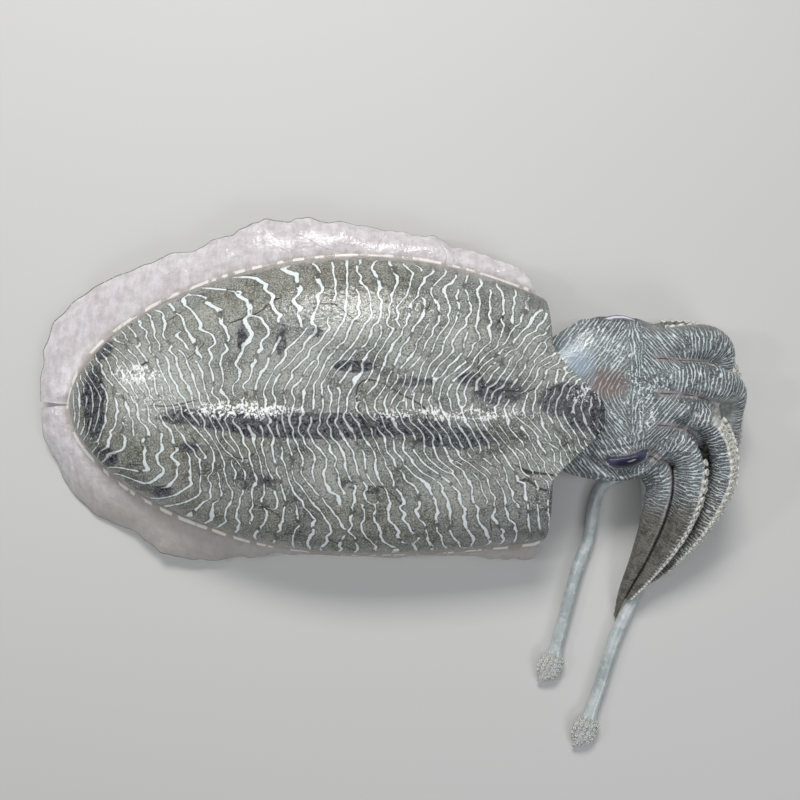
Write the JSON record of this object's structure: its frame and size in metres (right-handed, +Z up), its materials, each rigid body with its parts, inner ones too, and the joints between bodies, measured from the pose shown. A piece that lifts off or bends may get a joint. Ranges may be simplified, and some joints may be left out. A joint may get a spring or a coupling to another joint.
{
  "type": "pharaoh cuttlefish",
  "caption": "Life-size pharaoh cuttlefish lying belly down: striped shield-shaped mantle, rippled fin skirt, slit-eyed head, suckered arms swept to one side and long feeding tentacles.",
  "frame": {"origin": "on the floor, at the middle of the flat underside of the mantle", "axes": "+X towards the head, +Y to the animal's left, +Z up from the floor through the back"},
  "size_m": [0.5386, 0.4074, 0.08],
  "materials": {
    "mantle_skin": "wet skin, olive grey with wavy white cross stripes and a blue-black midline",
    "head_skin": "wet skin, blue grey with fine white wavy lines",
    "arm_skin": "wet skin, brown grey with fine white lines, whitish suckers",
    "fin_skin": "wet, pinkish white and slightly translucent",
    "pale_skin": "wet, smooth grey white",
    "eye": "glossy dark blue with a pale rim"
  },
  "bodies": {
    "root": {"arm_1_left_base": "arm_skin", "arm_1_left_middle": "arm_skin", "arm_1_left_tip": "arm_skin", "arm_1_right_base": "arm_skin", "arm_1_right_middle": "arm_skin", "arm_1_right_tip": "arm_skin", "arm_2_left_base": "arm_skin", "arm_2_left_middle": "arm_skin", "arm_2_left_tip": "arm_skin", "arm_2_right_base": "arm_skin", "arm_2_right_tip": "arm_skin", "arm_3_left_base": "arm_skin", "arm_3_left_middle": "arm_skin", "arm_3_left_tip": "arm_skin", "arm_3_right_base": "arm_skin", "arm_3_right_tip": "arm_skin", "arm_4_left_base": "arm_skin", "arm_4_left_middle": "arm_skin", "arm_4_left_tip": "arm_skin", "arm_4_right_base": "arm_skin", "arm_4_right_tip": "arm_skin", "eye_left": "eye", "eye_right": "eye", "fin_left": "fin_skin", "fin_right": "fin_skin", "funnel": "pale_skin", "head": "head_skin", "mantle": "mantle_skin", "mouth": "mantle_skin", "tentacle_left_club": "pale_skin", "tentacle_left_stalk_1": "pale_skin", "tentacle_left_stalk_2": "pale_skin", "tentacle_left_stalk_3": "pale_skin", "tentacle_right_club": "pale_skin", "tentacle_right_stalk_1": "pale_skin", "tentacle_right_stalk_2": "pale_skin", "tentacle_right_stalk_3": "pale_skin"}
  },
  "joints": []
}
